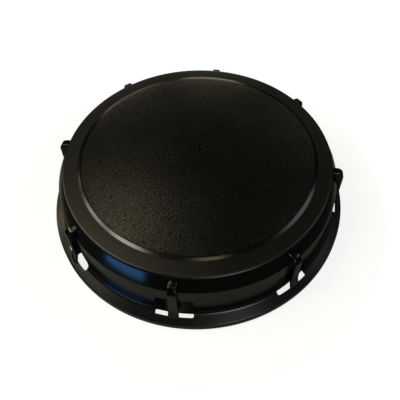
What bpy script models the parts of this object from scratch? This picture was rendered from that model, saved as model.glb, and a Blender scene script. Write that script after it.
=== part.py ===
"""Screw lid for the six inch filling neck of an intermediate bulk container.

The lid is one moulding in black polyethylene: a domed roof with a raised disc, a skirt
with a coarse buttress thread inside it, a sloping flange that ends in a flat rim, and eight
grip ribs, each of which ends in a leg that stands in front of a window through the flange.
A flat rubber ring lies under the roof and seals against the neck.

Metres, +Z up. The origin is on the lid's axis, in the plane of the rim's underside, and
one rib points along -Y.
"""
import math

import bmesh
import bpy
from mathutils import Matrix, Vector

# Neck that the lid screws onto: buttress thread, 160 mm across and 7 mm a turn
THREAD_ROOT_RADIUS = 0.0805
THREAD_DEPTH = 0.0032
THREAD_PITCH = 0.0070
THREAD_TURNS = 2.75
THREAD_START_HEIGHT = 0.0052
THREAD_CREST_WIDTH = 0.0017
THREAD_LOAD_FLANK = 0.0004
THREAD_LEAD_FLANK = 0.0028
THREAD_RUN_OUT = math.radians(24)
THREAD_EMBED = 0.0018
THREAD_FADE = 0.6

# Roof: a raised, slightly domed disc inside a flat band
SHOULDER_HEIGHT = 0.0382
CROWN_RISE = 0.0036
DISC_RADIUS = 0.0736
DISC_STEP = 0.0008
DISC_STEP_SLOPE = 0.0004
DISC_EDGE_ROUND = 0.0008
ROOF_THICKNESS = 0.0030
SHOULDER_ROUND = 0.0019

# Moulding mark at the roof's centre
PIP_RADIUS = 0.0013
PIP_HEIGHT = 0.0004
DIMPLE_RADIUS = 0.0024
DIMPLE_DEPTH = 0.0003

# Skirt: wall outside the thread, at the shoulder, at the bend and where the flange starts
SHOULDER_WALL = 0.0029
BEND_WALL = 0.0071
BEND_HEIGHT = 0.0291
FOOT_WALL = 0.0080
FOOT_FILLET = 0.0030

# Lower end of the skirt, which stays just clear of the rim's plane
END_WALL = 0.0050
END_HEIGHT = 0.0006
END_ROUND = 0.0007
LEAD_IN_DEPTH = 0.0015
LEAD_IN_HEIGHT = 0.0055

# Flange that slopes from the skirt's foot down to the rim
FLANGE_WIDTH = 0.0065
FLANGE_SLOPE = 0.48
FLANGE_WALL = 0.0024
RIM_HEIGHT = 0.0044
RIM_ROUND = 0.0009
RIM_WALL = 0.0022

# Eight grip ribs, wider towards the foot, whose lower part is a leg clear of the wall
RIB_COUNT = 8
RIB_FOOT_WIDTH = 0.0065
RIB_TOP_WIDTH = 0.0048
RIB_REACH = 0.0026
RIB_DROP = 0.0028
RIB_TOP_ROUND = 0.0060
RIB_EDGE_ROUND = 0.0006
LEG_THICKNESS = 0.0016
LEG_HEIGHT = 0.0124
LEG_SPREAD = 0.0020

# Window through the flange behind each rib's leg, which goes on as a pocket up the wall
WINDOW_HALF_ANGLE = math.radians(6.9)
WINDOW_BITE = 0.0003
WINDOW_SILL = 0.0039
WINDOW_TOP = 0.0200
WINDOW_CORNER_CUT = 0.0007

# Sealing ring, and what holds it under the roof
SEAT_WIDTH = 0.0098
RETAINER_WALL = 0.0021
RETAINER_DEPTH = 0.0050
GASKET_THICKNESS = 0.0030
GASKET_CLEARANCE = 0.0003
GASKET_CHAMFER = 0.0005
SNAP_BEAD_DEPTH = 0.0006
SNAP_BEAD_HEIGHT = 0.0010

# Fineness of the turned and rounded shapes
TURN_STEPS = 72
ARC_STEP = math.radians(32)
DOME_RINGS = 4
MERGE_DISTANCE = 0.00001

# Sizes that follow from those above
SHOULDER_RADIUS = THREAD_ROOT_RADIUS + SHOULDER_WALL
BEND_RADIUS = THREAD_ROOT_RADIUS + BEND_WALL
FOOT_RADIUS = THREAD_ROOT_RADIUS + FOOT_WALL
END_INNER_RADIUS = THREAD_ROOT_RADIUS + LEAD_IN_DEPTH
END_RADIUS = END_INNER_RADIUS + END_WALL
RIM_RADIUS = FOOT_RADIUS + FLANGE_WIDTH
DISC_HEIGHT = SHOULDER_HEIGHT + DISC_STEP
SEAT_HEIGHT = SHOULDER_HEIGHT - ROOF_THICKNESS
RETAINER_RADIUS = THREAD_ROOT_RADIUS - SEAT_WIDTH
GASKET_TOP = SEAT_HEIGHT - GASKET_CLEARANCE
GASKET_BOTTOM = GASKET_TOP - GASKET_THICKNESS


def clear_scene():
    """Removes every object that the open file holds."""
    for item in list(bpy.data.objects):
        bpy.data.objects.remove(item, do_unlink=True)


def new_collection(name):
    """Adds a collection to the scene."""
    group = bpy.data.collections.new(name)
    bpy.context.scene.collection.children.link(group)
    return group


def new_material(name, colour, roughness):
    """Makes a plain Principled material for a moulded or rubber piece."""
    paint = bpy.data.materials.new(name)
    paint.use_nodes = True
    shader = paint.node_tree.nodes["Principled BSDF"]
    shader.inputs["Base Color"].default_value = (*colour, 1.0)
    shader.inputs["Roughness"].default_value = roughness
    shader.inputs["Metallic"].default_value = 0.0
    paint.diffuse_color = (*colour, 1.0)
    return paint


def new_object(name, mesh_data, group):
    """Puts a bmesh into a new object of the collection."""
    mesh = bpy.data.meshes.new(name)
    mesh_data.to_mesh(mesh)
    mesh_data.free()
    item = bpy.data.objects.new(name, mesh)
    group.objects.link(item)
    return item


def rounded(corners):
    """Turns corners (radius, height, rounding) into a line with an arc at each rounded one."""
    line = [corners[0][:2]]
    for before, here, after in zip(corners, corners[1:], corners[2:]):
        line.extend(corner_arc(before, here, after))
    line.append(corners[-1][:2])
    return line


def corner_arc(before, here, after):
    """Gives the points of the arc that rounds one corner of a line."""
    x, z, rounding = here
    if rounding <= 0:
        return [(x, z)]
    back = (before[0] - x, before[1] - z)
    ahead = (after[0] - x, after[1] - z)
    back_length = math.hypot(*back)
    ahead_length = math.hypot(*ahead)
    back = (back[0] / back_length, back[1] / back_length)
    ahead = (ahead[0] / ahead_length, ahead[1] / ahead_length)
    inside = math.acos(max(-1.0, min(1.0, back[0] * ahead[0] + back[1] * ahead[1])))
    reach = min(rounding / math.tan(inside / 2), 0.45 * back_length, 0.45 * ahead_length)
    radius = reach * math.tan(inside / 2)
    to_centre = radius / math.sin(inside / 2)
    middle = (back[0] + ahead[0], back[1] + ahead[1])
    middle_length = math.hypot(*middle)
    centre = (x + middle[0] / middle_length * to_centre, z + middle[1] / middle_length * to_centre)
    first = math.atan2(z + back[1] * reach - centre[1], x + back[0] * reach - centre[0])
    last = math.atan2(z + ahead[1] * reach - centre[1], x + ahead[0] * reach - centre[0])
    turn = math.remainder(last - first, 2 * math.pi)
    steps = max(1, math.ceil(abs(turn) / ARC_STEP))
    angles = [first + turn * step / steps for step in range(steps + 1)]
    return [(centre[0] + radius * math.cos(a), centre[1] + radius * math.sin(a)) for a in angles]


def turned(name, line, group, closed):
    """Makes a turned piece from its half section with a Screw modifier."""
    section = bmesh.new()
    points = [section.verts.new((x, 0.0, z)) for x, z in line]
    for first, second in zip(points, points[1:]):
        section.edges.new((first, second))
    if closed:
        section.edges.new((points[-1], points[0]))
    item = new_object(name, section, group)
    screw = item.modifiers.new("turn", "SCREW")
    screw.axis = "Z"
    screw.angle = 2 * math.pi
    screw.steps = TURN_STEPS
    screw.render_steps = TURN_STEPS
    screw.use_merge_vertices = True
    screw.merge_threshold = MERGE_DISTANCE
    screw.use_normal_calculate = False
    screw.use_smooth_shade = True
    return item


def dome_height(radius):
    """Height of the roof's outer face over the disc."""
    return DISC_HEIGHT + CROWN_RISE * (1 - (radius / DISC_RADIUS) ** 2)


def flange_height(radius, depth):
    """Height of the flange's sloping top over a radius, or of a face that deep below it."""
    return RIM_HEIGHT + FLANGE_SLOPE * (RIM_RADIUS - radius) - depth


def roof_top():
    """Half section of the roof's outer face, from the axis to the bend in the skirt."""
    dome_start = dome_height(DIMPLE_RADIUS)
    corners = [
        (0, dome_start + PIP_HEIGHT, 0),
        (PIP_RADIUS, dome_start + PIP_HEIGHT, 0),
        (PIP_RADIUS, dome_start - DIMPLE_DEPTH, 0),
        (DIMPLE_RADIUS, dome_start, 0),
    ]
    for ring in range(1, DOME_RINGS):
        radius = DIMPLE_RADIUS + (DISC_RADIUS - DIMPLE_RADIUS) * ring / DOME_RINGS
        corners.append((radius, dome_height(radius), 0))
    corners += [
        (DISC_RADIUS - DISC_STEP_SLOPE / 2, DISC_HEIGHT, DISC_EDGE_ROUND),
        (DISC_RADIUS + DISC_STEP_SLOPE / 2, SHOULDER_HEIGHT, 0),
        (SHOULDER_RADIUS, SHOULDER_HEIGHT, SHOULDER_ROUND),
        (BEND_RADIUS, BEND_HEIGHT, 0),
    ]
    return corners


def foot_and_rim():
    """Half section of the skirt's foot, the flange and the rim, and of the groove under them."""
    rim_inner = RIM_RADIUS - RIM_WALL
    return [
        (FOOT_RADIUS, flange_height(FOOT_RADIUS, 0), FOOT_FILLET),
        (RIM_RADIUS, RIM_HEIGHT, RIM_ROUND),
        (RIM_RADIUS, 0, 0),
        (rim_inner, 0, 0),
        (rim_inner, flange_height(rim_inner, FLANGE_WALL), 0),
        (END_RADIUS, flange_height(END_RADIUS, FLANGE_WALL), 0),
    ]


def skirt_inside():
    """Half section of the skirt's lower end and of its inner wall up to the roof."""
    bead_top = GASKET_BOTTOM - GASKET_CLEARANCE
    bead_middle = bead_top - SNAP_BEAD_HEIGHT / 2
    bead_bottom = bead_top - SNAP_BEAD_HEIGHT
    return [
        (END_RADIUS, END_HEIGHT, END_ROUND),
        (END_INNER_RADIUS, END_HEIGHT, END_ROUND),
        (THREAD_ROOT_RADIUS, END_HEIGHT + LEAD_IN_HEIGHT, 0),
        (THREAD_ROOT_RADIUS, bead_bottom, 0),
        (THREAD_ROOT_RADIUS - SNAP_BEAD_DEPTH, bead_middle, 0),
        (THREAD_ROOT_RADIUS, bead_top, 0),
        (THREAD_ROOT_RADIUS, SEAT_HEIGHT, 0),
    ]


def roof_underside():
    """Half section of the gasket's seat, the ring that holds it and the roof's inner face."""
    retainer_end = SEAT_HEIGHT - RETAINER_DEPTH
    retainer_inner = RETAINER_RADIUS - RETAINER_WALL
    corners = [
        (RETAINER_RADIUS, SEAT_HEIGHT, 0),
        (RETAINER_RADIUS, retainer_end, 0),
        (retainer_inner, retainer_end, 0),
    ]
    for ring in range(DOME_RINGS - 1):
        radius = retainer_inner * (DOME_RINGS - 1 - ring) / (DOME_RINGS - 1)
        corners.append((radius, dome_height(radius) - ROOF_THICKNESS, 0))
    corners.append((0, dome_height(0) - ROOF_THICKNESS, 0))
    return corners


def rib_outline():
    """Side view of a rib: from inside the skirt's wall to its outer face and down its leg."""
    top = SHOULDER_HEIGHT - RIB_DROP
    inner = THREAD_ROOT_RADIUS + SHOULDER_WALL / 2
    outer = FOOT_RADIUS + RIB_REACH
    foot = outer + LEG_SPREAD
    foot_height = flange_height(foot, FLANGE_WALL / 2)
    corners = [
        (inner, top, 0),
        (outer, top, RIB_TOP_ROUND),
        (outer, LEG_HEIGHT, 0),
        (foot, foot_height, 0),
        (foot - LEG_THICKNESS, foot_height, 0),
        (outer - LEG_THICKNESS, LEG_HEIGHT, 0),
        (inner, LEG_HEIGHT, 0),
        (inner, top, 0),
    ]
    return rounded(corners)[:-1]


def window_outline():
    """Section of a window's cutter, which passes the flange and bites into the skirt's wall."""
    inner = END_RADIUS - WINDOW_BITE
    outer = RIM_RADIUS - WINDOW_SILL
    return [(inner, WINDOW_TOP), (outer, WINDOW_TOP), (outer, -RIM_HEIGHT), (inner, -RIM_HEIGHT)]


def add_rib(blocks, angle):
    """Adds one rib's block, tapered from its foot to its top, in the given direction."""
    turn = Matrix.Rotation(angle, 4, "Z")
    line = rib_outline()
    top = SHOULDER_HEIGHT - RIB_DROP
    sides = []
    for side in (-0.5, 0.5):
        widths = [RIB_FOOT_WIDTH + (RIB_TOP_WIDTH - RIB_FOOT_WIDTH) * z / top for x, z in line]
        points = [turn @ Vector((x, side * width, z)) for (x, z), width in zip(line, widths)]
        sides.append([blocks.verts.new(point) for point in points])
    close_block(blocks, sides)


def add_window(blocks, angle):
    """Adds one window's cutter, an arc of its section about the lid's axis."""
    half_facet = math.pi / TURN_STEPS
    bends = [-WINDOW_HALF_ANGLE, -half_facet, half_facet, WINDOW_HALF_ANGLE]
    sections = []
    for bend in bends:
        turn = Matrix.Rotation(angle + bend, 4, "Z")
        sections.append([blocks.verts.new(turn @ Vector((x, 0, z))) for x, z in window_outline()])
    close_block(blocks, sections)


def close_block(blocks, sections):
    """Joins sections with the same number of points one to the next and closes both ends."""
    count = len(sections[0])
    for first, second in zip(sections, sections[1:]):
        for corner in range(count):
            after = (corner + 1) % count
            blocks.faces.new((first[corner], first[after], second[after], second[corner]))
    blocks.faces.new(sections[0])
    blocks.faces.new(reversed(sections[-1]))


def finish_blocks(name, blocks, group, easing, steps):
    """Turns the blocks' faces outwards and eases their corners with a Bevel modifier."""
    bmesh.ops.recalc_face_normals(blocks, faces=blocks.faces)
    item = new_object(name, blocks, group)
    bevel = item.modifiers.new("eased_corners", "BEVEL")
    bevel.width = easing
    bevel.segments = steps
    bevel.limit_method = "ANGLE"
    bevel.angle_limit = math.radians(50)
    return item


def ribs(group):
    """Makes the eight grip ribs."""
    blocks = bmesh.new()
    for number in range(RIB_COUNT):
        add_rib(blocks, 2 * math.pi * number / RIB_COUNT)
    return finish_blocks("rib_blocks", blocks, group, RIB_EDGE_ROUND, 2)


def windows(group):
    """Makes the cutters of the eight windows, one behind each rib."""
    blocks = bmesh.new()
    for number in range(RIB_COUNT):
        add_window(blocks, 2 * math.pi * number / RIB_COUNT)
    return finish_blocks("window_blocks", blocks, group, WINDOW_CORNER_CUT, 1)


def thread_ridge(group):
    """Makes the buttress thread as a ridge that runs up the wall and fades out at both ends."""
    ridge = bmesh.new()
    steps = round(THREAD_TURNS * TURN_STEPS)
    half_step = math.pi / TURN_STEPS
    sections = []
    for step in range(steps + 1):
        turns = THREAD_TURNS * step / steps
        angle = 2 * math.pi * turns
        left = 2 * math.pi * THREAD_TURNS - angle
        share = min(1.0, angle / THREAD_RUN_OUT, left / THREAD_RUN_OUT)
        spin = Matrix.Rotation(angle + half_step, 4, "Z")
        height = THREAD_START_HEIGHT + THREAD_PITCH * turns
        sections.append([ridge.verts.new(spin @ Vector((x, 0, height + z))) for x, z in tooth(share)])
    close_block(ridge, sections)
    bmesh.ops.recalc_face_normals(ridge, faces=ridge.faces)
    return new_object("thread_ridge", ridge, group)


def tooth(share):
    """Section of the thread's ridge, as points (radius, height); share is its depth there."""
    buried = THREAD_ROOT_RADIUS + THREAD_EMBED
    faded = THREAD_ROOT_RADIUS + THREAD_EMBED * THREAD_FADE
    crest = faded + (THREAD_ROOT_RADIUS - THREAD_DEPTH - faded) * share
    return [
        (buried, THREAD_CREST_WIDTH / 2 + THREAD_LOAD_FLANK),
        (crest, THREAD_CREST_WIDTH / 2),
        (crest, -THREAD_CREST_WIDTH / 2),
        (buried, -THREAD_CREST_WIDTH / 2 - THREAD_LEAD_FLANK),
    ]


def add_boolean(item, tool, operation):
    """Adds a Boolean modifier and turns its tool into a hidden cutter."""
    cut = item.modifiers.new(operation.lower() + "_" + tool.name, "BOOLEAN")
    cut.operation = operation
    cut.solver = "EXACT"
    cut.object = tool
    tool.hide_render = True
    tool.display_type = "WIRE"


def screw_cap(group, cutters):
    """Makes the moulded lid: turned body, then windows, ribs and thread."""
    corners = roof_top() + foot_and_rim() + skirt_inside() + roof_underside()
    cap = turned("screw_cap", rounded(corners), group, False)
    add_boolean(cap, windows(cutters), "DIFFERENCE")
    add_boolean(cap, ribs(cutters), "UNION")
    add_boolean(cap, thread_ridge(cutters), "UNION")
    cap.data.materials.append(new_material("black_polyethylene", (0.008, 0.008, 0.0065), 0.38))
    return cap


def gasket(group):
    """Makes the flat sealing ring, with its edges eased."""
    inner = RETAINER_RADIUS + GASKET_CLEARANCE
    outer = THREAD_ROOT_RADIUS - GASKET_CLEARANCE
    line = [
        (inner + GASKET_CHAMFER, GASKET_TOP),
        (outer - GASKET_CHAMFER, GASKET_TOP),
        (outer, GASKET_TOP - GASKET_CHAMFER),
        (outer, GASKET_BOTTOM + GASKET_CHAMFER),
        (outer - GASKET_CHAMFER, GASKET_BOTTOM),
        (inner + GASKET_CHAMFER, GASKET_BOTTOM),
        (inner, GASKET_BOTTOM + GASKET_CHAMFER),
        (inner, GASKET_TOP - GASKET_CHAMFER),
    ]
    ring = turned("gasket", line, group, True)
    ring.data.materials.append(new_material("black_rubber", (0.020, 0.020, 0.020), 0.75))
    return ring


def main():
    """Builds the lid and its sealing ring."""
    clear_scene()
    lid = new_collection("ibc_lid")
    cutters = new_collection("cutters")
    screw_cap(lid, cutters)
    gasket(lid)


main()
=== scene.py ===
import math

import bpy
from mathutils import Matrix, Vector


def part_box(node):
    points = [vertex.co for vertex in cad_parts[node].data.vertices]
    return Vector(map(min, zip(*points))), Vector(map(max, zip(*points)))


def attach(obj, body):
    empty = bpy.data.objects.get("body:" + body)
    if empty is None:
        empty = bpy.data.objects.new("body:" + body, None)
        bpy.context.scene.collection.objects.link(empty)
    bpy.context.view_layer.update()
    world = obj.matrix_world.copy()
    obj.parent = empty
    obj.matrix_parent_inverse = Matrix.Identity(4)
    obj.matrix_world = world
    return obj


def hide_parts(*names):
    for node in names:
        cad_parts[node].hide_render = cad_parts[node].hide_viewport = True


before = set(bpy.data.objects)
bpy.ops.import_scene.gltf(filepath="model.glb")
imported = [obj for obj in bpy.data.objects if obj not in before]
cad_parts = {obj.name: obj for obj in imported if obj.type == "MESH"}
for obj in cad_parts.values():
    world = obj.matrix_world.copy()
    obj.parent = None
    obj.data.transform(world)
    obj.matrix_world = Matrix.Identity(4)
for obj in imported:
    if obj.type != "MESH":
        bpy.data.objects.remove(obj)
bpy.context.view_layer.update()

MM = 0.001

# Sizes in millimetres: the lid's outside, from its axis outwards and down
RIM_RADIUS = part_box("screw_cap")[1][0] / MM
CROWN_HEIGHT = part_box("screw_cap")[1][2] / MM
PIP_RADIUS = 1.5
PIP_HEIGHT = 0.4
PIP_ROUND = 0.25
PIP_FLARE = 0.2
DIMPLE_RADIUS = 2.9
DIMPLE_DEPTH = 0.7
DIMPLE_WALL = 0.3
DIMPLE_ROUND = 0.2
DIMPLE_EDGE_ROUND = 0.1
DISC_RADIUS = 73.6
DISC_STEP = 1.1
DISC_SLOPE = 2.0
DISC_ROUND = 4.0
DISC_FOOT_ROUND = 1.0
DOME_STEPS = 16
SHOULDER_RADIUS = 83.4
SHOULDER_HEIGHT = 38.2
SHOULDER_ROUND = 1.9
BAND_CROWN = 0.3
BAND_STEPS = 6
BEND_RADIUS = 87.6
BEND_HEIGHT = 29.1
BEND_ROUND = 4.0
FOOT_RADIUS = 88.5
FOOT_FILLET = 3.0
FLANGE_SLOPE = 0.48
FLANGE_WALL = 2.4
RIM_HEIGHT = 4.4
RIM_ROUND = 0.9
RIM_WALL = 2.2
RIM_FOOT_ROUND = 0.4
GROOVE_OUTER_ROUND = 0.3
GROOVE_INNER_ROUND = 0.4

# The skirt's lower end, the neck's thread and what holds the sealing ring
END_RADIUS = 87.0
END_INNER_RADIUS = 82.0
END_HEIGHT = 0.6
END_ROUND = 0.7
THREAD_ROOT = 80.5
THREAD_DEPTH = 3.2
THREAD_PITCH = 7.0
THREAD_TURNS = 2.75
THREAD_START = 5.2
THREAD_CREST_WIDTH = 1.7
THREAD_LOAD_FLANK = 0.4
THREAD_LEAD_FLANK = 2.8
THREAD_RUN_OUT = 24.0
THREAD_EMBED = 1.8
THREAD_FADE = 0.144
THREAD_CREST_ROUND = 0.35
THREAD_STEPS = 90
LEAD_IN_TOP = 6.1
LEAD_IN_ROUND = 0.8
GASKET_LOW, GASKET_HIGH = [[side / MM for side in corner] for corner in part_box("gasket")]
GASKET_INNER_RADIUS = 71.0
GASKET_ROUND = 0.5
BEAD_DEPTH = 0.6
BEAD_HEIGHT = 1.0
BEAD_GAP = 0.3
BEAD_ROUND = 0.4
BEAD_FOOT_ROUND = 0.2
ROOF_THICKNESS = 3.0
SEAT_HEIGHT = SHOULDER_HEIGHT - ROOF_THICKNESS
SEAT_ROUND = 0.3
RETAINER_RADIUS = 70.7
RETAINER_WALL = 2.1
RETAINER_DEPTH = 5.0
RETAINER_ROUND = 0.5
ROOF_CORNER_ROUND = 0.8
INNER_DOME_STEPS = 10

# Grip ribs with their legs, and the windows behind the legs
RIB_COUNT = 8
RIB_FOOT_WIDTH = 6.5
RIB_TOP_WIDTH = 4.8
RIB_OUTER = 91.1
RIB_TOP = 35.4
RIB_TOP_ROUND = 6.0
RIB_EDGE_ROUND = 0.7
RIB_EDGE_STEPS = 4
LEG_THICKNESS = 1.6
LEG_HEIGHT = 12.4
LEG_BEND_ROUND = 5.0
LEG_INNER_ROUND = 1.2
LEG_FOOT = 93.1
WINDOW_HALF_ANGLE = math.radians(6.9)
WINDOW_INNER = 86.7
WINDOW_OUTER = 91.1
WINDOW_TOP = 20.0
WINDOW_CORNER = 0.9
WINDOW_CORNER_STEPS = 3
WINDOW_STEPS = 11

# How finely round shapes are made, and past which angle an edge stays sharp
LATHE_STEPS = 288
ARC_STEP = math.radians(11)
LONGEST_ARC_SHARE = 0.48
MERGE = 0.00001
BEVEL_ANGLE = math.radians(50)
SHARP_ANGLE = math.radians(32)


def hex_colour(code):
    """Linear colour of an sRGB hex code."""
    values = [int(code[place:place + 2], 16) / 255 for place in (1, 3, 5)]
    return tuple(v / 12.92 if v <= 0.04045 else ((v + 0.055) / 1.055) ** 2.4 for v in values)


def deselect():
    """Leaves nothing selected, so that an operator acts on the new piece alone."""
    bpy.ops.object.select_all(action="DESELECT")


def pick(piece):
    """Makes one piece the only selected and active one."""
    deselect()
    piece.select_set(True)
    bpy.context.view_layer.objects.active = piece


def edit(piece):
    """Opens one piece in edit mode with all of it selected."""
    pick(piece)
    bpy.ops.object.mode_set(mode="EDIT")
    bpy.ops.mesh.select_all(action="SELECT")


def leave_edit():
    """Turns the open piece's faces outwards and goes back to object mode."""
    bpy.ops.mesh.select_all(action="SELECT")
    bpy.ops.mesh.normals_make_consistent(inside=False)
    bpy.ops.object.mode_set(mode="OBJECT")


def corner_arc(before, here, after):
    """Points of the arc that rounds one corner (x, z, rounding) of an outline."""
    x, z, rounding = here
    if rounding <= 0:
        return [(x, z)]
    back = Vector((before[0] - x, before[1] - z))
    ahead = Vector((after[0] - x, after[1] - z))
    inside = back.angle(ahead)
    longest = LONGEST_ARC_SHARE * min(back.length, ahead.length)
    reach = min(rounding / math.tan(inside / 2), longest)
    radius = reach * math.tan(inside / 2)
    back.normalize()
    ahead.normalize()
    centre = Vector((x, z)) + (back + ahead).normalized() * (radius / math.sin(inside / 2))
    first = Vector((x, z)) + back * reach - centre
    last = Vector((x, z)) + ahead * reach - centre
    start = math.atan2(first.y, first.x)
    turn = math.remainder(math.atan2(last.y, last.x) - start, 2 * math.pi)
    steps = max(2, math.ceil(abs(turn) / ARC_STEP))
    angles = [start + turn * step / steps for step in range(steps + 1)]
    return [(centre.x + radius * math.cos(a), centre.y + radius * math.sin(a)) for a in angles]


def rounded(corners):
    """Outline through the corners, with an arc at each rounded one."""
    line = [corners[0][:2]]
    for before, here, after in zip(corners, corners[1:], corners[2:]):
        line.extend(corner_arc(before, here, after))
    line.append(corners[-1][:2])
    return line


def rounded_ring(corners):
    """Closed outline through the corners, with an arc at each rounded one."""
    return rounded([corners[-1]] + corners + [corners[0]])[1:-1]


def draw_outline(name, line):
    """Draws an outline in the XZ plane by extruding a single point from corner to corner."""
    deselect()
    bpy.ops.mesh.primitive_circle_add(vertices=3, radius=MM, location=(0, 0, 0))
    piece = bpy.context.object
    piece.name = name
    piece.data.name = name
    edit(piece)
    bpy.ops.mesh.merge(type="CENTER")
    bpy.ops.transform.translate(value=(line[0][0] * MM, 0, line[0][1] * MM))
    for here, after in zip(line, line[1:]):
        step = ((after[0] - here[0]) * MM, 0, (after[1] - here[1]) * MM)
        bpy.ops.mesh.extrude_region_move(TRANSFORM_OT_translate={"value": step})
    bpy.ops.mesh.select_all(action="SELECT")
    return piece


def lathe(name, line):
    """Turns an outline once around the lid's axis and closes its seam and poles."""
    piece = draw_outline(name, line)
    bpy.ops.mesh.spin(steps=LATHE_STEPS, angle=2 * math.pi, center=(0, 0, 0), axis=(0, 0, 1))
    bpy.ops.mesh.select_all(action="SELECT")
    bpy.ops.mesh.remove_doubles(threshold=MERGE)
    leave_edit()
    return piece


def apply_all(piece):
    """Applies every modifier of a piece, in order."""
    pick(piece)
    for modifier in list(piece.modifiers):
        bpy.ops.object.modifier_apply(modifier=modifier.name)


def bevel(piece, width, steps):
    """Rounds a piece's sharp edges."""
    rounding = piece.modifiers.new("rounding", "BEVEL")
    rounding.width = width * MM
    rounding.segments = steps
    rounding.limit_method = "ANGLE"
    rounding.angle_limit = BEVEL_ANGLE
    apply_all(piece)


def ring_of(piece, count):
    """Copies a piece to equal steps around the lid's axis."""
    pieces = [piece]
    for number in range(1, count):
        pick(piece)
        bpy.ops.object.duplicate()
        copy = bpy.context.object
        copy.rotation_euler.z = 2 * math.pi * number / count
        bpy.ops.object.transform_apply(location=True, rotation=True, scale=True)
        pieces.append(copy)
    return pieces


def combine(piece, tools, operation):
    """Joins the tools into one mesh, then cuts them from the piece or unites them with it."""
    pick(tools[0])
    for tool in tools:
        tool.select_set(True)
    if len(tools) > 1:
        bpy.ops.object.join()
    boolean = piece.modifiers.new("combine", "BOOLEAN")
    boolean.operation = operation
    boolean.solver = "EXACT"
    boolean.object = tools[0]
    apply_all(piece)
    bpy.data.objects.remove(tools[0], do_unlink=True)


def dome_height(radius):
    """Height of the roof over the disc."""
    disc_height = SHOULDER_HEIGHT + DISC_STEP
    crown_rise = CROWN_HEIGHT - PIP_HEIGHT - disc_height
    return disc_height + crown_rise * (1 - (radius / DISC_RADIUS) ** 2)


def flange_height(radius, depth):
    """Height of the flange's sloping top over a radius, or of a face that deep below it."""
    return RIM_HEIGHT + FLANGE_SLOPE * (RIM_RADIUS - radius) - depth


def roof_outline():
    """Moulding mark, domed disc, band, shoulder and skirt down to its bend."""
    dome_start = dome_height(DIMPLE_RADIUS)
    band_start = DISC_RADIUS + DISC_SLOPE / 2
    corners = [
        (0, dome_start + PIP_HEIGHT, 0),
        (PIP_RADIUS, dome_start + PIP_HEIGHT, PIP_ROUND),
        (PIP_RADIUS + PIP_FLARE, dome_start - DIMPLE_DEPTH, DIMPLE_EDGE_ROUND),
        (DIMPLE_RADIUS - DIMPLE_WALL, dome_start - DIMPLE_DEPTH, DIMPLE_ROUND),
        (DIMPLE_RADIUS, dome_start, DIMPLE_EDGE_ROUND),
    ]
    for ring in range(1, DOME_STEPS):
        radius = DIMPLE_RADIUS + (DISC_RADIUS - DISC_SLOPE - DIMPLE_RADIUS) * ring / DOME_STEPS
        corners.append((radius, dome_height(radius), 0))
    corners += [
        (DISC_RADIUS - DISC_SLOPE / 2, SHOULDER_HEIGHT + DISC_STEP, DISC_ROUND),
        (band_start, SHOULDER_HEIGHT + BAND_CROWN, DISC_FOOT_ROUND),
    ]
    for ring in range(1, BAND_STEPS):
        share = ring / BAND_STEPS
        radius = band_start + (SHOULDER_RADIUS - SHOULDER_ROUND - band_start) * share
        corners.append((radius, SHOULDER_HEIGHT + BAND_CROWN * (1 - share ** 2), 0))
    corners += [
        (SHOULDER_RADIUS, SHOULDER_HEIGHT, SHOULDER_ROUND),
        (BEND_RADIUS, BEND_HEIGHT, BEND_ROUND),
    ]
    return corners


def foot_outline():
    """Skirt's foot, flange, rim, the groove under them and the skirt's lower end."""
    rim_inner = RIM_RADIUS - RIM_WALL
    return [
        (FOOT_RADIUS, flange_height(FOOT_RADIUS, 0), FOOT_FILLET),
        (RIM_RADIUS, RIM_HEIGHT, RIM_ROUND),
        (RIM_RADIUS, 0, RIM_FOOT_ROUND),
        (rim_inner, 0, RIM_FOOT_ROUND),
        (rim_inner, flange_height(rim_inner, FLANGE_WALL), GROOVE_OUTER_ROUND),
        (END_RADIUS, flange_height(END_RADIUS, FLANGE_WALL), GROOVE_INNER_ROUND),
        (END_RADIUS, END_HEIGHT, END_ROUND),
        (END_INNER_RADIUS, END_HEIGHT, END_ROUND),
    ]


def inside_outline():
    """Threaded wall, snap bead, seat of the ring, its retainer and the roof's inner face."""
    bead_top = GASKET_LOW[2] - BEAD_GAP
    retainer_inner = RETAINER_RADIUS - RETAINER_WALL
    retainer_end = SEAT_HEIGHT - RETAINER_DEPTH
    corners = [
        (THREAD_ROOT, LEAD_IN_TOP, LEAD_IN_ROUND),
        (THREAD_ROOT, bead_top - BEAD_HEIGHT, BEAD_FOOT_ROUND),
        (THREAD_ROOT - BEAD_DEPTH, bead_top - BEAD_HEIGHT / 2, BEAD_ROUND),
        (THREAD_ROOT, bead_top, BEAD_FOOT_ROUND),
        (THREAD_ROOT, SEAT_HEIGHT, SEAT_ROUND),
        (RETAINER_RADIUS, SEAT_HEIGHT, SEAT_ROUND),
        (RETAINER_RADIUS, retainer_end, RETAINER_ROUND),
        (retainer_inner, retainer_end, RETAINER_ROUND),
        (retainer_inner, dome_height(retainer_inner) - ROOF_THICKNESS, ROOF_CORNER_ROUND),
    ]
    for ring in range(1, INNER_DOME_STEPS):
        radius = retainer_inner * (INNER_DOME_STEPS - ring) / INNER_DOME_STEPS
        corners.append((radius, dome_height(radius) - ROOF_THICKNESS, 0))
    corners.append((0, dome_height(0) - ROOF_THICKNESS, 0))
    return corners


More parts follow.
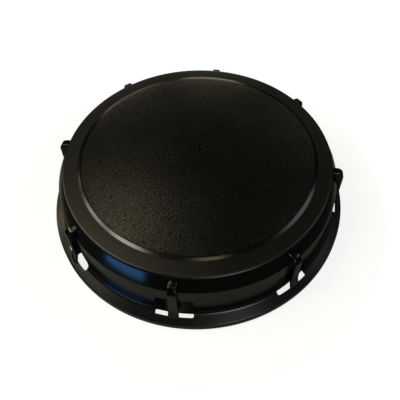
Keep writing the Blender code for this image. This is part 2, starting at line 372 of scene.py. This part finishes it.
def windows():
    """Cutters of the eight windows, each an arc of its section with rounded corners."""
    line = [
        (WINDOW_INNER, WINDOW_TOP),
        (WINDOW_OUTER, WINDOW_TOP),
        (WINDOW_OUTER, -RIM_HEIGHT),
        (WINDOW_INNER, -RIM_HEIGHT),
    ]
    cutter = draw_outline("window", line)
    bpy.ops.mesh.edge_face_add()
    bpy.ops.mesh.spin(steps=WINDOW_STEPS, angle=2 * WINDOW_HALF_ANGLE, center=(0, 0, 0), axis=(0, 0, 1))
    leave_edit()
    middle = sum((corner.co for corner in cutter.data.vertices), Vector()) / len(cutter.data.vertices)
    cutter.rotation_euler.z = -math.atan2(middle.y, middle.x)
    bpy.ops.object.transform_apply(location=True, rotation=True, scale=True)
    bevel(cutter, WINDOW_CORNER, WINDOW_CORNER_STEPS)
    return ring_of(cutter, RIB_COUNT)


def grip_ribs():
    """The eight ribs: a side view with its leg, made wide, tapered and rounded."""
    inner = (THREAD_ROOT + SHOULDER_RADIUS) / 2
    foot_height = flange_height(LEG_FOOT, FLANGE_WALL / 2)
    line = rounded_ring([
        (inner, RIB_TOP, 0),
        (RIB_OUTER, RIB_TOP, RIB_TOP_ROUND),
        (RIB_OUTER, LEG_HEIGHT, LEG_BEND_ROUND),
        (LEG_FOOT, foot_height, 0),
        (LEG_FOOT - LEG_THICKNESS, foot_height, 0),
        (RIB_OUTER - LEG_THICKNESS, LEG_HEIGHT, LEG_INNER_ROUND),
        (inner, LEG_HEIGHT, 0),
    ])
    rib = draw_outline("rib", line)
    bpy.ops.mesh.edge_face_add()
    bpy.ops.mesh.select_all(action="SELECT")
    bpy.ops.transform.translate(value=(0, -RIB_FOOT_WIDTH / 2 * MM, 0))
    bpy.ops.mesh.extrude_region_move(TRANSFORM_OT_translate={"value": (0, RIB_FOOT_WIDTH * MM, 0)})
    leave_edit()
    taper = rib.modifiers.new("taper", "SIMPLE_DEFORM")
    taper.deform_method = "TAPER"
    taper.deform_axis = "Z"
    taper.lock_x = True
    taper.factor = (RIB_TOP_WIDTH / RIB_FOOT_WIDTH - 1) * (RIB_TOP - foot_height) / RIB_TOP
    bevel(rib, RIB_EDGE_ROUND, RIB_EDGE_STEPS)
    return ring_of(rib, RIB_COUNT)


def thread_ridge():
    """The neck's buttress thread: its tooth carried round and up, faded out at both ends."""
    buried = THREAD_ROOT + THREAD_EMBED
    crest = THREAD_ROOT - THREAD_DEPTH
    line = rounded_ring([
        (buried, THREAD_CREST_WIDTH / 2 + THREAD_LOAD_FLANK, 0),
        (crest, THREAD_CREST_WIDTH / 2, THREAD_CREST_ROUND),
        (crest, -THREAD_CREST_WIDTH / 2, THREAD_CREST_ROUND),
        (buried, -THREAD_CREST_WIDTH / 2 - THREAD_LEAD_FLANK, 0),
    ])
    ridge = draw_outline("thread", line)
    bpy.ops.mesh.edge_face_add()
    bpy.ops.transform.translate(value=(0, 0, THREAD_START * MM))
    steps = round(THREAD_TURNS * THREAD_STEPS)
    turn = 2 * math.pi / THREAD_STEPS
    run_out = math.radians(THREAD_RUN_OUT)
    rise = THREAD_PITCH / THREAD_STEPS
    depth = 1.0
    for step in range(steps + 1):
        share = min(1, step * turn / run_out, (steps - step) * turn / run_out)
        wanted = THREAD_FADE + (1 - THREAD_FADE) * share
        if step > 0:
            bpy.ops.mesh.extrude_region_move(TRANSFORM_OT_translate={"value": (0, 0, rise * MM)})
            bpy.ops.transform.rotate(value=-turn, orient_axis="Z", center_override=(0, 0, 0))
        if wanted != depth:
            angle = step * turn
            root = (buried * MM * math.cos(angle), buried * MM * math.sin(angle), 0)
            bpy.ops.transform.resize(value=(wanted / depth, wanted / depth, 1), center_override=root)
            depth = wanted
    leave_edit()
    return ridge


def lid_moulding():
    """The moulded lid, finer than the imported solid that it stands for."""
    corners = roof_outline() + foot_outline() + inside_outline()
    lid = lathe("lid_moulding", rounded(corners))
    combine(lid, windows(), "DIFFERENCE")
    combine(lid, grip_ribs(), "UNION")
    combine(lid, [thread_ridge()], "UNION")
    pick(lid)
    bpy.ops.object.shade_smooth_by_angle(angle=SHARP_ANGLE)
    return lid


def sealing_ring():
    """The flat rubber ring under the roof, with its edges slightly rounded."""
    outer = GASKET_HIGH[0]
    line = rounded_ring([
        (GASKET_INNER_RADIUS, GASKET_LOW[2], GASKET_ROUND),
        (outer, GASKET_LOW[2], GASKET_ROUND),
        (outer, GASKET_HIGH[2], GASKET_ROUND),
        (GASKET_INNER_RADIUS, GASKET_HIGH[2], GASKET_ROUND),
    ])
    ring = lathe("sealing_ring", line + line[:1])
    bpy.ops.object.shade_smooth_by_angle(angle=SHARP_ANGLE)
    return ring


# Colours
POLYETHYLENE = "#070706"
INSIDE_BLACK = "#0b0b0a"
RUBBER = "#141414"

# How the plastic and the rubber bend and scatter light; the plastic's waxy surface mirrors it weakly
POLYETHYLENE_IOR = 1.53
POLYETHYLENE_GLOSS = 0.32
POLYETHYLENE_ROUGHNESS = 0.4
RUBBER_IOR = 1.5
RUBBER_ROUGHNESS = 0.72

# Widths and depths in millimetres of grains, bumps and ripples
# The tool's real pits are about 0.3 mm wide, so they are drawn coarser, or the photo's view would lose them
SPARK_GRAIN = 1.5
SPARK_FINE_GRAIN = 0.7
SPARK_DEPTH = 0.1
SATIN_GRAIN = 0.9
SATIN_DEPTH = 0.006
RIPPLE = 14.0
RIPPLE_DEPTH = 0.02
RUBBER_GRAIN = 0.7
RUBBER_DEPTH = 0.02
HANDLING_PATCH = 30.0

# Lowest and highest roughness of each finish, and the mirror light of the sparked face's pits and tops,
# weaker in the pits as painted shade and stronger on the tops as painted highlight
SPARK_ROUGHNESS = (0.28, 0.32)
SATIN_ROUGHNESS = (0.34, 0.39)
POLISHED_ROUGHNESS = (0.17, 0.21)
EGGSHELL_ROUGHNESS = (0.28, 0.32)
CORE_ROUGHNESS = (0.42, 0.50)
EPDM_ROUGHNESS = (0.68, 0.78)
PAINTED_PIT_SHADE_GLOSS = (0.14, 0.54)

# Parts of a noise's values over which roughness and the sparked face's painted pit shade and top highlight
# change
PATCH_SPAN = (0.3, 0.7)
PAINTED_PIT_SHADE_SPAN = (0.4, 0.62)


def add_node(tree, kind, values):
    """Adds a shader node; a value that is a socket is linked, any other is set."""
    node = tree.nodes.new("ShaderNode" + kind)
    for name, value in values.items():
        if isinstance(value, bpy.types.NodeSocket):
            tree.links.new(value, node.inputs[name])
        else:
            node.inputs[name].default_value = value
    return node


def new_surface(name, colour, roughness, ior, gloss=0.5):
    """New material with a plain Principled shader, as (material, node tree, shader)."""
    surface = bpy.data.materials.new(name)
    surface.use_nodes = True
    shader = surface.node_tree.nodes["Principled BSDF"]
    shader.inputs["Base Color"].default_value = (*hex_colour(colour), 1)
    shader.inputs["Roughness"].default_value = roughness
    shader.inputs["IOR"].default_value = ior
    shader.inputs["Specular IOR Level"].default_value = gloss
    return surface, surface.node_tree, shader


def grain(tree, size, detail):
    """Noise over the surface, whose patches are about the given size in millimetres."""
    place = add_node(tree, "TexCoord", {}).outputs["Object"]
    noise = add_node(tree, "TexNoise", {"Vector": place, "Scale": 1 / (size * MM), "Detail": detail})
    return noise.outputs["Fac"]


def add_bump(tree, shader, height, depth, before=None):
    """Bumps of the given depth in millimetres, on top of any bump made before."""
    values = {"Height": height, "Strength": 1.0, "Distance": depth * MM}
    if before is not None:
        values["Normal"] = before
    relief = add_node(tree, "Bump", values).outputs["Normal"]
    tree.links.new(relief, shader.inputs["Normal"])
    return relief


def spread_over(tree, value, span, result):
    """Stretches the part of a value that lies in the span over the result's two ends."""
    stretched = add_node(tree, "MapRange", {
        "Value": value, "From Min": span[0], "From Max": span[1], "To Min": result[0], "To Max": result[1],
    })
    return stretched.outputs["Result"]


def vary_roughness(tree, shader, ends):
    """Roughness that drifts between two values over patches the size of a fingertip."""
    patches = grain(tree, HANDLING_PATCH, 3)
    tree.links.new(spread_over(tree, patches, PATCH_SPAN, ends), shader.inputs["Roughness"])


def black_plastic(name, colour):
    """Black polyethylene, whose soft, waxy surface gives weaker mirror light than glass."""
    return new_surface(name, colour, POLYETHYLENE_ROUGHNESS, POLYETHYLENE_IOR, POLYETHYLENE_GLOSS)


def spark_textured_polyethylene():
    """Roof's disc: polyethylene moulded against a spark-eroded face of the tool.

    The tool's pits give close, shallow bumps that break a highlight into fine specks.
    The same grain also weakens the mirror light in the pits and strengthens it on the tops:
    painted shade between the bumps and painted highlight on them.
    """
    surface, tree, shader = black_plastic("spark_textured_polyethylene", POLYETHYLENE)
    vary_roughness(tree, shader, SPARK_ROUGHNESS)
    coarse = add_bump(tree, shader, grain(tree, SPARK_GRAIN, 2), SPARK_DEPTH)
    fine_grain = grain(tree, SPARK_FINE_GRAIN, 1)
    add_bump(tree, shader, fine_grain, SPARK_DEPTH / 2, coarse)
    # Mirror light that follows the fine grain: painted shade in the pits, painted highlight on the tops
    painted_pit_shade = spread_over(tree, fine_grain, PAINTED_PIT_SHADE_SPAN, PAINTED_PIT_SHADE_GLOSS)
    tree.links.new(painted_pit_shade, shader.inputs["Specular IOR Level"])
    return surface


def satin_polyethylene():
    """Roof's flat band and shoulder: a stoned tool face, which leaves an even satin."""
    surface, tree, shader = black_plastic("satin_polyethylene", POLYETHYLENE)
    vary_roughness(tree, shader, SATIN_ROUGHNESS)
    add_bump(tree, shader, grain(tree, SATIN_GRAIN, 2), SATIN_DEPTH)
    return surface


def polished_polyethylene():
    """Skirt, ribs, disc's edge and moulding mark: a polished tool face.

    They mirror the room, with slight ripples.
    """
    surface, tree, shader = black_plastic("polished_polyethylene", POLYETHYLENE)
    vary_roughness(tree, shader, POLISHED_ROUGHNESS)
    ripples = add_bump(tree, shader, grain(tree, RIPPLE, 1), RIPPLE_DEPTH)
    add_bump(tree, shader, grain(tree, SATIN_GRAIN, 2), SATIN_DEPTH / 3, ripples)
    return surface


def eggshell_polyethylene():
    """Flange and rim: the same plastic from a lightly pitted tool face, faintly speckled."""
    surface, tree, shader = black_plastic("eggshell_polyethylene", POLYETHYLENE)
    vary_roughness(tree, shader, EGGSHELL_ROUGHNESS)
    add_bump(tree, shader, grain(tree, SATIN_GRAIN, 2), SATIN_DEPTH * 2)
    return surface


def core_side_polyethylene():
    """Inside of the lid: the core's turned face, duller and a little greyer."""
    surface, tree, shader = black_plastic("core_side_polyethylene", INSIDE_BLACK)
    vary_roughness(tree, shader, CORE_ROUGHNESS)
    add_bump(tree, shader, grain(tree, SATIN_GRAIN, 2), SATIN_DEPTH)
    return surface


def epdm_rubber():
    """Sealing ring: black EPDM cut from pressed sheet, dull with a fine grain."""
    surface, tree, shader = new_surface("epdm_rubber", RUBBER, RUBBER_ROUGHNESS, RUBBER_IOR)
    vary_roughness(tree, shader, EPDM_ROUGHNESS)
    add_bump(tree, shader, grain(tree, RUBBER_GRAIN, 3), RUBBER_DEPTH)
    return surface


# Order of the lid's finishes, and how far the inner side's finish reaches round its edges
SPARKED, SATIN, POLISHED, EGGSHELL, CORE_SIDE = range(5)
CORE_REACH_OUT = 0.3
CORE_REACH_UP = 0.5
FLANGE_REACH_UP = 0.3


def finish_of(radius, height):
    """Number of the finish that a face of the lid has, by its place in millimetres."""
    core_top = dome_height(radius) - ROOF_THICKNESS + CORE_REACH_UP
    if radius < END_INNER_RADIUS + CORE_REACH_OUT and height < core_top:
        return CORE_SIDE
    if DIMPLE_RADIUS < radius < DISC_RADIUS - DISC_SLOPE and height > SHOULDER_HEIGHT + DISC_STEP:
        return SPARKED
    at_disc_edge = DISC_RADIUS - DISC_SLOPE <= radius < DISC_RADIUS + DISC_SLOPE / 2
    if height > SHOULDER_HEIGHT and (at_disc_edge or radius <= DIMPLE_RADIUS):
        return POLISHED
    if height > SHOULDER_HEIGHT - SHOULDER_ROUND:
        return SATIN
    if radius > FOOT_RADIUS and height < flange_height(radius, 0) + FLANGE_REACH_UP:
        return EGGSHELL
    return POLISHED


def finish_lid(lid):
    """Gives each face of the lid the finish of its side of the tool."""
    for surface in (
        spark_textured_polyethylene(),
        satin_polyethylene(),
        polished_polyethylene(),
        eggshell_polyethylene(),
        core_side_polyethylene(),
    ):
        lid.data.materials.append(surface)
    for face in lid.data.polygons:
        centre = face.center / MM
        face.material_index = finish_of(math.hypot(centre.x, centre.y), centre.z)


# Camera fitted to the photograph's rings, in the lid's frame
VIEW_AZIMUTH = math.radians(10.23)
VIEW_ELEVATION = math.radians(53.34)
VIEW_ROLL = math.radians(-1.75)
VIEW_DISTANCE = 316.39
AXIS_ASIDE = math.radians(2.21)
AXIS_ABOVE = math.radians(6.36)
FOCAL_PIXELS = 455.36
ORIGIN_PIXEL = (199.58, 189.61)
IMAGE_SIZE = 400
SENSOR = 36.0
NEAREST_SEEN = 10.0


def add_camera():
    """Camera at the photograph's place, with the lid's origin on its measured pixel."""
    flat = Matrix.Rotation(VIEW_AZIMUTH, 3, "Z")
    back = flat @ Vector((0, -math.cos(VIEW_ELEVATION), math.sin(VIEW_ELEVATION)))
    right = flat @ Vector((1, 0, 0))
    up = back.cross(right)
    look = (-back + math.tan(AXIS_ASIDE) * right + math.tan(AXIS_ABOVE) * up).normalized()
    level = (right - look * right.dot(look)).normalized()
    upright = level.cross(look)
    side = math.cos(VIEW_ROLL) * level + math.sin(VIEW_ROLL) * upright
    top = -math.sin(VIEW_ROLL) * level + math.cos(VIEW_ROLL) * upright
    place = back * VIEW_DISTANCE * MM
    data = bpy.data.cameras.new("camera")
    data.sensor_width = SENSOR
    data.lens = FOCAL_PIXELS / IMAGE_SIZE * SENSOR
    seen = -place
    across = FOCAL_PIXELS * seen.dot(side) / seen.dot(look)
    above = FOCAL_PIXELS * seen.dot(top) / seen.dot(look)
    data.shift_x = (IMAGE_SIZE / 2 - (ORIGIN_PIXEL[0] - across)) / IMAGE_SIZE
    data.shift_y = (ORIGIN_PIXEL[1] + above - IMAGE_SIZE / 2) / IMAGE_SIZE
    data.clip_start = NEAREST_SEEN * MM
    camera = bpy.data.objects.new("camera", data)
    bpy.context.scene.collection.objects.link(camera)
    axes = Matrix((side, top, -look)).transposed()
    camera.matrix_world = Matrix.Translation(place) @ axes.to_4x4()
    bpy.context.scene.camera = camera


# Stage: a pale round board on a dark table, in a dim room; a white is what the camera sees added to it
BOARD = "#8a8a86"
BOARD_WHITE = 0.82
BOARD_RADIUS = 125.0
BOARD_SIDES = 96
BOARD_HEIGHT = -0.2
TABLE = "#2c2c2a"
TABLE_WHITE = 1.0
TABLE_SIZE = 6000.0
TABLE_HEIGHT = -1.2
STAGE_ROUGHNESS = 0.9
STAGE_IOR = 1.3
ROOM_LIGHT = 0.012


def stage_surface(name, colour, white):
    """Dull surface of the stage, which the camera alone sees lifted to white.

    The lid has no metal or glass, and its skirt is to mirror a dark room, so no other ray sees the white.
    """
    surface, tree, shader = new_surface(name, colour, STAGE_ROUGHNESS, STAGE_IOR)
    path = add_node(tree, "LightPath", {})
    tree.links.new(path.outputs["Is Camera Ray"], shader.inputs["Emission Strength"])
    shader.inputs["Emission Color"].default_value = (white, white, white, 1)
    return surface


def add_stage():
    """Pale round board under the lid, on a dark table."""
    deselect()
    bpy.ops.mesh.primitive_plane_add(size=TABLE_SIZE * MM, location=(0, 0, TABLE_HEIGHT * MM))
    table = bpy.context.object
    table.name = "table"
    table.data.materials.append(stage_surface("dark_table", TABLE, TABLE_WHITE))
    bpy.ops.mesh.primitive_circle_add(
        vertices=BOARD_SIDES, radius=BOARD_RADIUS * MM, fill_type="NGON", location=(0, 0, BOARD_HEIGHT * MM),
    )
    board = bpy.context.object
    board.name = "board"
    board.data.materials.append(stage_surface("pale_board", BOARD, BOARD_WHITE))


# Lamps' usual distance, and that of the small cool one, in metres
LAMP_DISTANCE = 1.2
COOL_LAMP_DISTANCE = 0.18


def add_area(name, azimuth, elevation, size, power, colour, distance=LAMP_DISTANCE):
    """Soft lamp, (wide, tall) in metres, that faces the lid from an angle in degrees off its front."""
    data = bpy.data.lights.new(name, "AREA")
    data.shape = "RECTANGLE"
    data.size, data.size_y = size
    data.energy = power
    data.color = hex_colour(colour)
    lamp = bpy.data.objects.new(name, data)
    bpy.context.scene.collection.objects.link(lamp)
    turn = math.radians(azimuth)
    rise = math.radians(elevation)
    place = Vector((math.sin(turn) * math.cos(rise), -math.cos(turn) * math.cos(rise), math.sin(rise)))
    lamp.location = place * distance
    lamp.rotation_euler = place.to_track_quat("Z", "Y").to_euler()


def light_left():
    """Warm window side: the disc's speckled highlight, its bright edge, and the skirt's left end."""
    add_area("left_window", -131, 62, size=(0.24, 0.24), power=0.8, colour="#ffeec0")
    add_area("left_high", -74, 60, size=(0.26, 0.26), power=3.0, colour="#fffbe2")
    add_area("left_middle", -92, 44, size=(0.30, 0.30), power=2.3, colour="#fffbe4")
    add_area("left_front", -72, 46, size=(0.30, 0.30), power=1.5, colour="#fffce8")
    add_area("left_low", -103, 26, size=(0.30, 0.30), power=1.6, colour="#ffedcc")


def light_back():
    """Low light from behind, mirrored by the roof's far side."""
    add_area("behind_left", -150, 18, size=(0.40, 0.40), power=0.65, colour="#fff0d4")
    add_area("behind", -174, 13, size=(0.30, 0.30), power=1.0, colour="#fff5d2")
    add_area("behind_right", 160, 34, size=(0.40, 0.40), power=0.15, colour="#fffce8")


def light_front():
    """Light from above, from the right and from the front, and the cool patch low on the skirt."""
    add_area("overhead", 24, 76, size=(0.20, 0.20), power=0.5, colour="#fff3cc")
    add_area("right", 108, 45, size=(0.50, 0.50), power=1.7, colour="#fbfff6")
    add_area("front", 30, 32, size=(0.40, 0.40), power=4.2, colour="#fffdfa")
    add_area(
        "cool_low", -30, 3, size=(0.07, 0.022), power=0.018, colour="#66aeff", distance=COOL_LAMP_DISTANCE,
    )


def set_world():
    """Dim room, which the camera alone sees white."""
    world = bpy.data.worlds.new("room")
    world.use_nodes = True
    tree = world.node_tree
    path = add_node(tree, "LightPath", {})
    strength = add_node(tree, "MapRange", {"Value": path.outputs["Is Camera Ray"], "To Min": ROOM_LIGHT})
    background = tree.nodes["Background"]
    background.inputs["Color"].default_value = (1, 1, 1, 1)
    tree.links.new(strength.outputs["Result"], background.inputs["Strength"])
    bpy.context.scene.world = world


bpy.context.scene.view_settings.view_transform = "Standard"
add_camera()
add_stage()
set_world()
light_left()
light_back()
light_front()

lid = lid_moulding()
finish_lid(lid)
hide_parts("screw_cap")
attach(lid, "root")

ring = sealing_ring()
ring.data.materials.append(epdm_rubber())
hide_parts("gasket")
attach(ring, "root")
